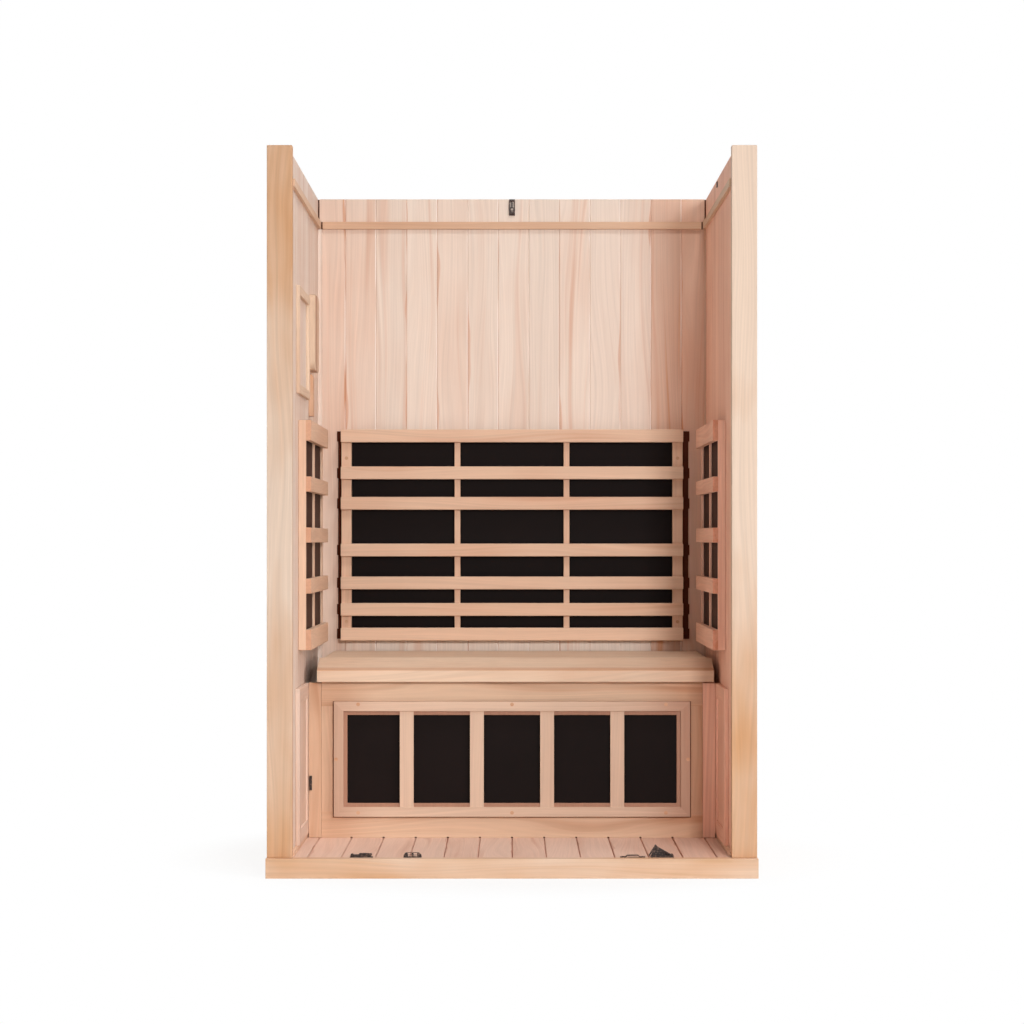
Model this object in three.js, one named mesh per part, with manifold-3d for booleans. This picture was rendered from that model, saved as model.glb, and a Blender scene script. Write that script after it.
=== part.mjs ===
// Two-person infrared sauna cabin, shown as its open shell: floor, two side walls, back wall,
// bench, heaters behind wooden grilles, and the black draw latches that pull the panels together.
// Millimetres, +Z up. The open front faces -Y. The origin is under the middle of the floor.
import * as THREE from "three";
import { mergeVertices } from "three/addons/utils/BufferGeometryUtils.js";
import Module from "manifold-3d";

const wasm = await Module();
wasm.setup();

// Overall sizes
const CABIN_WIDTH = 1200;
const CABIN_DEPTH = 1050;
const FLOOR_HEIGHT = 48;
const STILE_HEIGHT = 1740;
const FIT = 0.3; // clearance between faces that touch
const CUT_PAST = 1; // a cutting tool runs this far past the face that it opens
const WELD = 1e-4; // corners closer than this are one corner
const ROUND_SIDES = 20;

// Floor
const FRONT_RAIL_DEPTH = 33;
const FLOOR_RAIL_WIDTH = 44;
const DECK_THICKNESS = 20;
const DECK_LEDGE = 14; // bearing of the deck boards on the front and back rails
const DECK_BOARD = 83.6;
const DECK_GROOVE = { width: 4.5, depth: 4 };
const BEARER_WIDTH = 60; // joist across the middle, under the deck boards

// Tongue-and-groove boards of the walls
const BOARD_THICKNESS = 12;
const WALL_BOARD = 85.2;
const WALL_GROOVE = { width: 3.6, depth: 2.2 };
const CENTRED_JOINT = 0; // a joint between two boards lies on the middle line
const BACK_JOINT = 0.55; // middle line to the next joint of the back wall, as a share of a board

// Walls
const WALL_INSET = 6; // floor edge to the outer face of the walls
const SIDE_CORE = 29;
const BACK_CORE = 26;
const WALL_DROP = 14; // wall tops lie this far under the stile tops
const CORNER_GAP = 4; // gap between the back wall and each side wall
const STILE_WIDTH = 62;
const STILE_LAP = 4.5; // the stiles stand this far past the outer face of the walls
const STILE_DEPTH = 30;
const STILE_SETBACK = 20; // floor front to stile front
const SILL_HEIGHT = 12;
const SILL_PROUD = 8;
const BATTEN_THICKNESS = 9;
const BATTEN_HEIGHT = 20;
const BATTEN_DROP = 64; // wall top to batten top

// Bench, measured from the deck and from the back wall
const SEAT_HEIGHT = 467;
const SEAT_THICKNESS = 20;
const SEAT_END_GAP = 36;
const BENCH_SHIFT = 9; // the loose bench lies nearer the right wall
const SEAT_BACK_GAP = 4;
const SEAT_DEPTH = 443;
const NOSING_DEPTH = 97;
const NOSING_DROP = 59;
const NOSING_THICKNESS = 44; // behind the lip
const NOSING_LIP = 18;
const NOSING_FALL = 28; // slope of the top towards the front
const NOSING_RADIUS = 4;
const NOSING_END_GAP = 26;
const CLEAT_DEPTH = 20;
const CLEAT_HEIGHT = 32;

// Skirt under the bench
const SKIRT_SETBACK = 31; // nosing front to skirt front
const SKIRT_THICKNESS = 20;
const SKIRT_BOTTOM_RAIL = 68;
const SKIRT_TOP_RAIL = 79;
const SKIRT_STILE = 50;
const POST_WIDTH = 33;
const POST_DEPTH = 33;

// Low framed panels on the side walls, in front of the bench
const LOW_PANEL_THICKNESS = 11;
const LOW_PANEL_FRONT = 157; // stile front to the panel's front edge
const LOW_PANEL_TOP = 404;
const LOW_PANEL_RAIL = 38;
const LOW_PANEL_RECESS = 4;

// Heaters: black panels behind wooden grilles
const ELEMENT_THICKNESS = 8;
const HEATER_BOTTOM = 497;
const SLAT_HEIGHT = 35.5;
const BACK_SLAT_GAPS = [33, 38, 56, 94, 49, 67]; // clear gaps from the lowest slat upwards
const BACK_SLAT_THICKNESS = 15;
const BACK_STRIP_THICKNESS = 20;
const BACK_GRILLE_MARGIN = 66; // side wall to the ends of the slats
const BACK_STILE_WIDTH = 28;
const BACK_STILE_INSET = 1; // slat end to stile
const BACK_MUNTIN_WIDTH = 16;
const BACK_MUNTIN_OFFSET = 151.5;
const ELEMENT_MARGIN = 16; // grille edge to element edge
const SIDE_SLATS = 5;
const SIDE_END_SLAT = 52;
const SIDE_SLAT = 38;
const SIDE_HEATER_HEIGHT = 583;
const SIDE_HEATER_FRONT = 250; // stile front to the grille's front edge
const SIDE_HEATER_BACK_GAP = 79; // back wall to the rear ends of the slats
const SIDE_ELEMENT_THICKNESS = 12.7;
const SIDE_STRIP_THICKNESS = 6;
const SIDE_SLAT_THICKNESS = 14;
const SIDE_FRONT_STILE = 22;
const SIDE_STRIP_WIDTH = 24;
const SIDE_SLAT_OVERHANG = 12;

// Calf heater in the skirt
const CALF_MARGIN = 33; // skirt end to the frame's end
const CALF_OVERLAP = 12; // lap of the frame over the skirt rails
const CALF_PROUD = 18;
const CALF_ELEMENT_THICKNESS = 20; // the panel with its backing board
const CALF_RAIL = 25;
const CALF_BEAD = 10;
const CALF_BEAD_DEPTH = 9;
const CALF_PANES = 5;
const CALF_MUNTIN = 36;
const CALF_MUNTIN_SET = 4; // muntin faces lie this far behind the frame's face

// Fittings on the left wall
const TRIM_FRONT = 180;
const TRIM_LENGTH = 360;
const TRIM_GAP = 65; // top of the side heater to the trim frame
const TRIM_HEIGHT = 270;
const TRIM_RAIL = 22;
const TRIM_PROUD = 9;
const VENT_FRONT = 600;
const VENT_LENGTH = 160;
const VENT_GAP = 10; // top of the sensor cover to the vent
const VENT_HEIGHT = 202;
const VENT_PROUD = 17;
const VENT_CORNER = 24;
const VENT_SLOT_WIDTH = 8;
const VENT_SLOT_LENGTH = 150;
const VENT_SLOT_DEPTH = 14;
const VENT_HOLE = 13;
const SENSOR_FRONT = 613;
const SENSOR_LENGTH = 42;
const SENSOR_GAP = 26; // top of the side heater to the sensor cover
const SENSOR_HEIGHT = 112;
const SENSOR_PROUD = 12;

// Draw latches
const LATCH_WIDTH = 16;
const LATCH_PLATE = 1.6;
const LATCH_LEVER = 46;
const BACK_LATCH_LEVER = 36;
const LATCH_TAIL = 5; // plate behind the pivot and past the lever's tip
const LATCH_EAR = 1.8;
const LATCH_EAR_RADIUS = 4;
const LATCH_PIVOT_HEIGHT = 4.6;
const LATCH_PIN_RADIUS = 1.4;
const LATCH_HOLE_RADIUS = 1.7;
const LATCH_HUB_RADIUS = 2.8;
const LATCH_LEVER_THICKNESS = 2.4;
const LATCH_RAIL = 3; // sides of the plate beside its window
const LATCH_RAIL_HEIGHT = 4.4;
const LATCH_WINDOW_START = 6; // pivot to the plate's window
const LATCH_FORK = 2.5; // width of each leg of the lever
const LATCH_BAR = 3.6; // width of the lever where its legs have met
const LATCH_BAR_DEPTH = 4; // depth of the bar under the lever's middle plane, where the legs meet
const LATCH_TIP_DEPTH = 5.4;
const LATCH_LOOP = 28;
const LATCH_WIRE = 2;
const LATCH_CHEEK = 20; // length of the flattened, deeper part of the loop's arms
const LATCH_CHEEK_DEPTH = 3.2;
const LATCH_WALL_GAP = 150; // side wall to the pivot of a floor latch
const LATCH_SETBACK = 3; // front rail to the middle of the floor latches
const CLOSED_LEVER = 3; // degrees off the plate
const FOLDED_LOOP = 174; // degrees between the lever and its folded loop
const RAISED_LEVER = 30;
const HANGING_LOOP = -86;
const KEEPER_LEFT_REACH = 148; // pivot of the floor latch to the middle of its keeper
const KEEPER_LEFT_WIDTH = 44;
const KEEPER_LEFT_HEIGHT = 12.5;
const KEEPER_LEFT_CHAMFER = 6;
const KEEPER_WINDOW = 9;
const KEEPER_WINDOW_SPACING = 14;
const KEEPER_BAR = 1.6; // rod across the windows, and the strip over them
const KEEPER_RIGHT_REACH = 96;
const KEEPER_RIGHT_WIDTH = 61;
const KEEPER_RIGHT_BRIDGE = 27;
const KEEPER_RIGHT_RISE = 4;

// Planes that the pieces share
const floorFront = -CABIN_DEPTH / 2;
const floorBack = CABIN_DEPTH / 2;
const deckTop = FLOOR_HEIGHT;
const base = deckTop + FIT;
const stileTop = deckTop + STILE_HEIGHT;
const wallTop = stileTop - WALL_DROP;
const wallOut = CABIN_WIDTH / 2 - WALL_INSET;
const wallIn = wallOut - 2 * BOARD_THICKNESS - SIDE_CORE;
const stileFront = floorFront + STILE_SETBACK;
const wallFront = stileFront + STILE_DEPTH + FIT;
const wallBack = floorBack - WALL_INSET;
const backIn = wallBack - 2 * BOARD_THICKNESS - BACK_CORE;
const sillTop = base + SILL_HEIGHT;
const battenTop = wallTop - BATTEN_DROP;
const battenBottom = battenTop - BATTEN_HEIGHT;
const seatTop = deckTop + SEAT_HEIGHT;
const seatBottom = seatTop - SEAT_THICKNESS;
const seatBack = backIn - SEAT_BACK_GAP;
const seatFront = seatBack - SEAT_DEPTH;
const nosingFront = seatFront - NOSING_DEPTH;
const skirtFront = nosingFront + SKIRT_SETBACK;
const nosingBottom = seatTop - NOSING_THICKNESS;
const skirtTop = nosingBottom - FIT;
const lowPanelTop = deckTop + LOW_PANEL_TOP;
const postOut = wallIn - LOW_PANEL_THICKNESS - FIT;
const postIn = postOut - POST_WIDTH;
const skirtEnd = postIn - FIT;
const heaterBottom = deckTop + HEATER_BOTTOM;
const sideHeaterTop = heaterBottom + SIDE_HEATER_HEIGHT;
const sensorBottom = sideHeaterTop + SENSOR_GAP;
const ventBottom = sensorBottom + SENSOR_HEIGHT + VENT_GAP;
const trimBottom = sideHeaterTop + TRIM_GAP;
const latchX = wallIn - LATCH_WALL_GAP;
const latchY = floorFront + FRONT_RAIL_DEPTH + LATCH_SETBACK;

// Finishes
const PALE_WOOD = new THREE.MeshStandardMaterial({ color: 0xe3c4ae, roughness: 0.62 });
const WARM_WOOD = new THREE.MeshStandardMaterial({ color: 0xdfb58f, roughness: 0.6 });
const HEATER_BLACK = new THREE.MeshStandardMaterial({ color: 0x1e1614, roughness: 0.5 });
const LATCH_BLACK = new THREE.MeshStandardMaterial({ color: 0x17181a, roughness: 0.4, metalness: 0.7 });

const X = new THREE.Vector3(1, 0, 0);
const Y = new THREE.Vector3(0, 1, 0);
const Z = new THREE.Vector3(0, 0, 1);

const cabin = new THREE.Group();
const rightSide = new THREE.Group();
const leftSide = new THREE.Group();
leftSide.scale.x = -1; // the left wall mirrors the right one
cabin.add(rightSide, leftSide);

// A block between two limits on each axis.
function block([x0, x1], [y0, y1], [z0, z1]) {
  const box = new THREE.BoxGeometry(x1 - x0, y1 - y0, z1 - z0);
  return box.translate((x0 + x1) / 2, (y0 + y1) / 2, (z0 + z1) / 2);
}

// An outline in the plane of u and v, pushed along u x v from the origin given.
function prism(outline, length, origin, u, v) {
  const corners = Array.isArray(outline) ? outline.map(([a, b]) => new THREE.Vector2(a, b)) : [];
  const shape = corners.length ? new THREE.Shape(corners) : outline;
  const options = { depth: length, bevelEnabled: false, curveSegments: ROUND_SIDES / 4 };
  const solid = new THREE.ExtrudeGeometry(shape, options);
  const frame = new THREE.Matrix4().makeBasis(u, v, u.clone().cross(v)).setPosition(...origin);
  return solid.applyMatrix4(frame);
}

// A round bar along Y, centred on its length.
function pinAlongY(radius, length, x, z) {
  return new THREE.CylinderGeometry(radius, radius, length, ROUND_SIDES).translate(x, 0, z);
}

function toSolid(geometry) {
  const bare = geometry.clone();
  bare.deleteAttribute("normal");
  bare.deleteAttribute("uv");
  const merged = mergeVertices(bare, WELD);
  const vertProperties = merged.attributes.position.array;
  const triVerts = new Uint32Array(merged.index.array);
  return new wasm.Manifold(new wasm.Mesh({ numProp: 3, vertProperties, triVerts }));
}

function toGeometry(solid) {
  const { vertProperties, triVerts } = solid.getMesh();
  const geometry = new THREE.BufferGeometry();
  geometry.setAttribute("position", new THREE.BufferAttribute(vertProperties, 3));
  geometry.setIndex(new THREE.BufferAttribute(triVerts, 1));
  geometry.computeVertexNormals();
  return geometry;
}

function join(pieces) {
  return toGeometry(pieces.map(toSolid).reduce((sum, piece) => sum.add(piece)));
}

function cut(body, tools) {
  return toGeometry(tools.map(toSolid).reduce((rest, tool) => rest.subtract(tool), toSolid(body)));
}

function add(group, name, geometry, material) {
  const mesh = new THREE.Mesh(geometry, material);
  mesh.name = name;
  group.add(mesh);
  return mesh;
}

// Places of the board joints between two limits.
function jointsBetween(from, to, pitch, phase, margin) {
  const first = Math.ceil((from + margin) / pitch - phase);
  const last = Math.floor((to - margin) / pitch - phase);
  return Array.from({ length: Math.max(0, last - first + 1) }, (_, i) => (first + i + phase) * pitch);
}

// Outline of boards laid edge to edge: a flat back and a face with a V groove at each joint.
function boardOutline(from, to, thickness, pitch, phase, groove) {
  const face = jointsBetween(from, to, pitch, phase, groove.width).flatMap((u) => [
    [u - groove.width / 2, 0],
    [u, groove.depth],
    [u + groove.width / 2, 0],
  ]);
  return [[from, 0], ...face, [to, 0], [to, thickness], [from, thickness]];
}

function buildFloor() {
  const half = CABIN_WIDTH / 2;
  const inner = half - FLOOR_RAIL_WIDTH - FIT;
  const railBack = floorFront + FRONT_RAIL_DEPTH;
  const backRailFront = floorBack - FLOOR_RAIL_WIDTH;
  const full = [0, deckTop];
  const ledge = [0, deckTop - DECK_THICKNESS - FIT];
  const front = [
    block([-half, half], [floorFront, railBack], full),
    block([-inner, inner], [floorFront + FIT, railBack + DECK_LEDGE], ledge),
  ];
  const back = [
    block([-half, half], [backRailFront, floorBack], full),
    block([-inner, inner], [backRailFront - DECK_LEDGE, floorBack - FIT], ledge),
  ];
  add(cabin, "floor_front_rail", join(front), PALE_WOOD);
  add(cabin, "floor_back_rail", join(back), PALE_WOOD);
  const run = [railBack + FIT, backRailFront - FIT];
  const rail = block([half - FLOOR_RAIL_WIDTH, half], run, full);
  add(leftSide, "floor_left_rail", rail, PALE_WOOD);
  add(rightSide, "floor_right_rail", rail, PALE_WOOD);
  const boards = boardOutline(-inner, inner, DECK_THICKNESS, DECK_BOARD, CENTRED_JOINT, DECK_GROOVE);
  const deck = prism(boards, run[1] - run[0], [0, run[0], deckTop], X, Z.clone().negate());
  add(cabin, "floor_deck", deck, PALE_WOOD);
  const bearer = block([-inner, inner], [-BEARER_WIDTH / 2, BEARER_WIDTH / 2], ledge);
  add(cabin, "floor_bearer", bearer, PALE_WOOD);
}

// Upright boards of a wall: u runs across them, v from their face to their back.
function uprightBoards(from, to, phase, origin, u, v, top) {
  const outline = boardOutline(from, to, BOARD_THICKNESS, WALL_BOARD, phase, WALL_GROOVE);
  return prism(outline, top - origin[2], origin, u, v);
}

function buildSideWall(group, side) {
  const coreIn = wallIn + BOARD_THICKNESS + FIT;
  const coreOut = wallOut - BOARD_THICKNESS - FIT;
  const run = [wallFront, wallBack];
  const stileRun = [stileFront, stileFront + STILE_DEPTH];
  const core = [
    block([coreIn, coreOut], run, [base, wallTop]),
    block([wallIn - SILL_PROUD, coreOut], [wallFront, backIn - FIT], [base, sillTop]),
  ];
  const stileOut = wallOut + STILE_LAP;
  const stile = block([stileOut - STILE_WIDTH, stileOut], stileRun, [base, stileTop]);
  const innerStart = [wallIn, 0, sillTop + FIT];
  const forward = Y.clone().negate();
  const inner = uprightBoards(-wallBack, -wallFront, CENTRED_JOINT, innerStart, forward, X, wallTop);
  const outerStart = [wallOut, 0, base];
  const outer = uprightBoards(wallFront, wallBack, CENTRED_JOINT, outerStart, Y, X.clone().negate(), wallTop);
  const battenX = [wallIn - FIT - BATTEN_THICKNESS, wallIn - FIT];
  const batten = block(battenX, [wallFront, backIn - FIT], [battenBottom, battenTop]);
  add(group, `${side}_front_stile`, stile, PALE_WOOD);
  add(group, `${side}_wall_core`, join(core), PALE_WOOD);
  add(group, `${side}_inner_boards`, inner, PALE_WOOD);
  add(group, `${side}_outer_boards`, outer, PALE_WOOD);
  add(group, `${side}_roof_batten`, batten, PALE_WOOD);
}

function buildBackWall() {
  const half = wallIn - CORNER_GAP;
  const across = [-half, half];
  const coreRun = [backIn + BOARD_THICKNESS + FIT, wallBack - BOARD_THICKNESS - FIT];
  const inner = uprightBoards(-half, half, BACK_JOINT, [0, backIn, base], X, Y, wallTop);
  const outerStart = [0, wallBack, base];
  const [left, forward] = [X.clone().negate(), Y.clone().negate()];
  const outer = uprightBoards(-half, half, BACK_JOINT, outerStart, left, forward, wallTop);
  const battenEnd = wallIn - FIT - BATTEN_THICKNESS - CORNER_GAP;
  const battenRun = [backIn - FIT - BATTEN_THICKNESS, backIn - FIT];
  const batten = block([-battenEnd, battenEnd], battenRun, [battenBottom, battenTop]);
  add(cabin, "back_wall_core", block(across, coreRun, [base, wallTop]), PALE_WOOD);
  add(cabin, "back_inner_boards", inner, PALE_WOOD);
  add(cabin, "back_outer_boards", outer, PALE_WOOD);
  add(cabin, "back_roof_batten", batten, PALE_WOOD);
}

// Front of the bench: a sloping top, an eased edge and a lip that hangs in front of the skirt.
function nosingOutline() {
  const front = nosingFront;
  const brow = seatTop - NOSING_FALL;
  const back = seatFront - FIT;
  const shape = new THREE.Shape();
  shape.moveTo(back, seatTop);
  shape.lineTo(front + NOSING_RADIUS, brow);
  shape.quadraticCurveTo(front, brow, front, brow - NOSING_RADIUS);
  shape.lineTo(front, seatTop - NOSING_DROP);
  shape.lineTo(front + NOSING_LIP, seatTop - NOSING_DROP);
  shape.lineTo(front + NOSING_LIP, nosingBottom);
  shape.lineTo(back, nosingBottom);
  return shape;
}

function buildBench() {
  const seatEnd = wallIn - SEAT_END_GAP;
  const nosingEnd = wallIn - NOSING_END_GAP;
  const seatRun = [BENCH_SHIFT - seatEnd, BENCH_SHIFT + seatEnd];
  const seat = block(seatRun, [seatFront, seatBack], [seatBottom, seatTop]);
  const nosing = prism(nosingOutline(), 2 * nosingEnd, [BENCH_SHIFT - nosingEnd, 0, 0], Y, Z);
  const cleatRun = [backIn - FIT - CLEAT_DEPTH, backIn - FIT];
  const cleatTop = seatBottom - FIT;
  const cleat = block([-seatEnd, seatEnd], cleatRun, [cleatTop - CLEAT_HEIGHT, cleatTop]);
  add(cabin, "bench_seat", seat, WARM_WOOD);
  add(cabin, "bench_nosing", nosing, WARM_WOOD);
  add(cabin, "bench_back_cleat", cleat, PALE_WOOD);
}

// Frame under the bench front, and the posts that close it to the side walls.
function buildSkirt() {
  const run = [skirtFront, skirtFront + SKIRT_THICKNESS];
  const board = block([-skirtEnd, skirtEnd], run, [base, skirtTop]);
  const hole = block(
    [SKIRT_STILE - skirtEnd, skirtEnd - SKIRT_STILE],
    [run[0] - CUT_PAST, run[1] + CUT_PAST],
    [base + SKIRT_BOTTOM_RAIL, skirtTop - SKIRT_TOP_RAIL],
  );
  add(cabin, "skirt_frame", cut(board, [hole]), WARM_WOOD);
  const post = block([postIn, postOut], [skirtFront, skirtFront + POST_DEPTH], [base, lowPanelTop]);
  add(leftSide, "left_end_post", post, WARM_WOOD);
  add(rightSide, "right_end_post", post, WARM_WOOD);
}

// Framed panel on a side wall beside the sitter's legs.
function buildLowPanel(group, side) {
  const face = wallIn - FIT - LOW_PANEL_THICKNESS;
  const run = [stileFront + LOW_PANEL_FRONT, skirtFront - FIT];
  const rise = [sillTop + FIT, lowPanelTop];
  const recess = block(
    [face - CUT_PAST, face + LOW_PANEL_RECESS],
    [run[0] + LOW_PANEL_RAIL, run[1] - LOW_PANEL_RAIL],
    [rise[0] + LOW_PANEL_RAIL, rise[1] - LOW_PANEL_RAIL],
  );
  add(group, `${side}_low_panel`, cut(block([face, wallIn - FIT], run, rise), [recess]), PALE_WOOD);
}

// Heater behind the sitter's back: an element, upright strips over it and slats across the strips.
function buildBackHeater() {
  const half = wallIn - BACK_GRILLE_MARGIN;
  const slatPitch = BACK_SLAT_GAPS.map((gap) => gap + SLAT_HEIGHT);
  const rise = slatPitch.reduce((sum, pitch) => sum + pitch, SLAT_HEIGHT);
  const top = heaterBottom + rise;
  const elementRun = [backIn - FIT - ELEMENT_THICKNESS, backIn - FIT];
  const stripRun = [elementRun[0] - FIT - BACK_STRIP_THICKNESS, elementRun[0] - FIT];
  const slatRun = [stripRun[0] - FIT - BACK_SLAT_THICKNESS, stripRun[0] - FIT];
  const elementEnd = half - ELEMENT_MARGIN;
  const elementRise = [heaterBottom + ELEMENT_MARGIN, top - ELEMENT_MARGIN];
  add(cabin, "back_heater_element", block([-elementEnd, elementEnd], elementRun, elementRise), HEATER_BLACK);
  const stileOut = half - BACK_STILE_INSET;
  const stile = block([stileOut - BACK_STILE_WIDTH, stileOut], stripRun, [heaterBottom, top]);
  const muntinX = [BACK_MUNTIN_OFFSET - BACK_MUNTIN_WIDTH / 2, BACK_MUNTIN_OFFSET + BACK_MUNTIN_WIDTH / 2];
  const muntin = block(muntinX, stripRun, [heaterBottom, top]);
  add(leftSide, "back_heater_left_stile", stile, PALE_WOOD);
  add(rightSide, "back_heater_right_stile", stile, PALE_WOOD);
  add(leftSide, "back_heater_left_muntin", muntin, PALE_WOOD);
  add(rightSide, "back_heater_right_muntin", muntin, PALE_WOOD);
  let bottom = heaterBottom;
  for (let i = 0; i <= slatPitch.length; i += 1) {
    const slat = block([-half, half], slatRun, [bottom, bottom + SLAT_HEIGHT]);
    add(cabin, `back_heater_slat_${i + 1}`, slat, PALE_WOOD);
    bottom += slatPitch[i] ?? 0;
  }
}

// Heights of the side grille's slats, with deeper ones at both ends and even gaps between.
function sideSlatRises() {
  const heights = Array.from({ length: SIDE_SLATS }, (_, i) =>
    i === 0 || i === SIDE_SLATS - 1 ? SIDE_END_SLAT : SIDE_SLAT,
  );
  const wood = heights.reduce((sum, height) => sum + height, 0);
  const gap = (SIDE_HEATER_HEIGHT - wood) / (SIDE_SLATS - 1);
  let bottom = heaterBottom;
  return heights.map((height) => {
    const rise = [bottom, bottom + height];
    bottom += height + gap;
    return rise;
  });
}

// Heater on a side wall: its grille is one glued frame of a front stile, two thin strips and the slats.
function buildSideHeater(group, side) {
  const front = stileFront + SIDE_HEATER_FRONT;
  const back = backIn - SIDE_HEATER_BACK_GAP;
  const rise = [heaterBottom, sideHeaterTop];
  const elementX = [wallIn - FIT - SIDE_ELEMENT_THICKNESS, wallIn - FIT];
  const stripX = [elementX[0] - FIT - SIDE_STRIP_THICKNESS, elementX[0] - FIT];
  const slatX = [stripX[0] - SIDE_SLAT_THICKNESS, stripX[0]];
  const stileEnd = front + SIDE_FRONT_STILE;
  const lastStrip = back - SIDE_SLAT_OVERHANG - SIDE_STRIP_WIDTH;
  const midStrip = (stileEnd + lastStrip - SIDE_STRIP_WIDTH) / 2;
  const pieces = [block([stripX[0], wallIn - FIT], [front, stileEnd], rise)];
  for (const start of [midStrip, lastStrip]) {
    pieces.push(block(stripX, [start, start + SIDE_STRIP_WIDTH], rise));
  }
  for (const slatRise of sideSlatRises()) {
    pieces.push(block(slatX, [front, back], slatRise));
  }
  const elementRun = [stileEnd + FIT, back - SIDE_SLAT_OVERHANG];
  const elementRise = [rise[0] + ELEMENT_MARGIN, rise[1] - ELEMENT_MARGIN];
  add(group, `${side}_heater_element`, block(elementX, elementRun, elementRise), HEATER_BLACK);
  add(group, `${side}_heater_grille`, join(pieces), PALE_WOOD);
}

// Heater for the calves: a frame with a sunk bead and muntins, lapped over the opening in the skirt.
function buildCalfHeater() {
  const half = skirtEnd - CALF_MARGIN;
  const opening = skirtEnd - SKIRT_STILE;
  const rise = [base + SKIRT_BOTTOM_RAIL - CALF_OVERLAP, skirtTop - SKIRT_TOP_RAIL + CALF_OVERLAP];
  const back = skirtFront - FIT;
  const face = back - CALF_PROUD;
  const window = half - CALF_RAIL;
  const windowRise = [rise[0] + CALF_RAIL, rise[1] - CALF_RAIL];
  const sight = window - CALF_BEAD;
  const step = block([-window, window], [face - CUT_PAST, face + CALF_BEAD_DEPTH], windowRise);
  const through = block(
    [-sight, sight],
    [face - CUT_PAST, back + CUT_PAST],
    [windowRise[0] + CALF_BEAD, windowRise[1] - CALF_BEAD],
  );
  const ring = cut(block([-half, half], [face, back], rise), [step, through]);
  const pane = (2 * window - (CALF_PANES - 1) * CALF_MUNTIN) / CALF_PANES;
  const muntins = Array.from({ length: CALF_PANES - 1 }, (_, i) => {
    const start = -window + (i + 1) * pane + i * CALF_MUNTIN;
    return block([start, start + CALF_MUNTIN], [face + CALF_MUNTIN_SET, back], windowRise);
  });
  add(cabin, "calf_heater_frame", join([ring, ...muntins]), WARM_WOOD);
  const elementRise = [base + SKIRT_BOTTOM_RAIL + FIT, skirtTop - SKIRT_TOP_RAIL - FIT];
  const elementRun = [skirtFront, skirtFront + CALF_ELEMENT_THICKNESS];
  const element = block([FIT - opening, opening - FIT], elementRun, elementRise);
  add(cabin, "calf_heater_element", element, HEATER_BLACK);
}

// Plain trim frame on the left wall.
function buildTrimFrame() {
  const face = wallIn - FIT - TRIM_PROUD;
  const run = [stileFront + TRIM_FRONT, stileFront + TRIM_FRONT + TRIM_LENGTH];
  const rise = [trimBottom, trimBottom + TRIM_HEIGHT];
  const hole = block(
    [face - CUT_PAST, wallIn + CUT_PAST],
    [run[0] + TRIM_RAIL, run[1] - TRIM_RAIL],
    [rise[0] + TRIM_RAIL, rise[1] - TRIM_RAIL],
  );
  add(leftSide, "left_trim_frame", cut(block([face, wallIn - FIT], run, rise), [hole]), PALE_WOOD);
}

function roundedRectangle(width, height, radius) {
  const shape = new THREE.Shape();
  const x = width / 2 - radius;
  const y = height / 2 - radius;
  shape.absarc(x, y, radius, 0, Math.PI / 2);
  shape.absarc(-x, y, radius, Math.PI / 2, Math.PI);
  shape.absarc(-x, -y, radius, Math.PI, 1.5 * Math.PI);
  shape.absarc(x, -y, radius, 1.5 * Math.PI, 2 * Math.PI);
  return shape;
}

// Air vent on the left wall: a rounded block with an upright keyhole slot.
function buildVent() {
  const face = wallIn - FIT - VENT_PROUD;
  const centreY = stileFront + VENT_FRONT + VENT_LENGTH / 2;
  const centreZ = ventBottom + VENT_HEIGHT / 2;
  const outline = roundedRectangle(VENT_LENGTH, VENT_HEIGHT, VENT_CORNER);
  const body = prism(outline, VENT_PROUD, [face, centreY, centreZ], Y, Z);
  const cutStart = [face - CUT_PAST, centreY, centreZ];
  const cutDepth = VENT_SLOT_DEPTH + CUT_PAST;
  const slotOutline = roundedRectangle(VENT_SLOT_WIDTH, VENT_SLOT_LENGTH, VENT_SLOT_WIDTH / 2 - FIT);
  const slot = prism(slotOutline, cutDepth, cutStart, Y, Z);
  const hole = new THREE.Shape().absarc(0, VENT_SLOT_LENGTH / 2, VENT_HOLE / 2, 0, 2 * Math.PI);
  const keyhole = prism(hole, cutDepth, cutStart, Y, Z);
  add(leftSide, "left_vent_block", cut(body, [slot, keyhole]), WARM_WOOD);
}

// Cover of the temperature sensor: a slim upright strip with a rounded top edge.
function buildSensorCover() {
  const start = [wallIn - FIT, stileFront + SENSOR_FRONT + SENSOR_LENGTH, sensorBottom];
  const shape = new THREE.Shape();
  shape.moveTo(0, 0);
  shape.lineTo(-SENSOR_PROUD, 0);
  shape.lineTo(-SENSOR_PROUD, SENSOR_HEIGHT - SENSOR_PROUD);
  shape.quadraticCurveTo(-SENSOR_PROUD, SENSOR_HEIGHT, 0, SENSOR_HEIGHT);
  add(leftSide, "left_sensor_cover", prism(shape, SENSOR_LENGTH, start, X, Z), WARM_WOOD);
}

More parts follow.
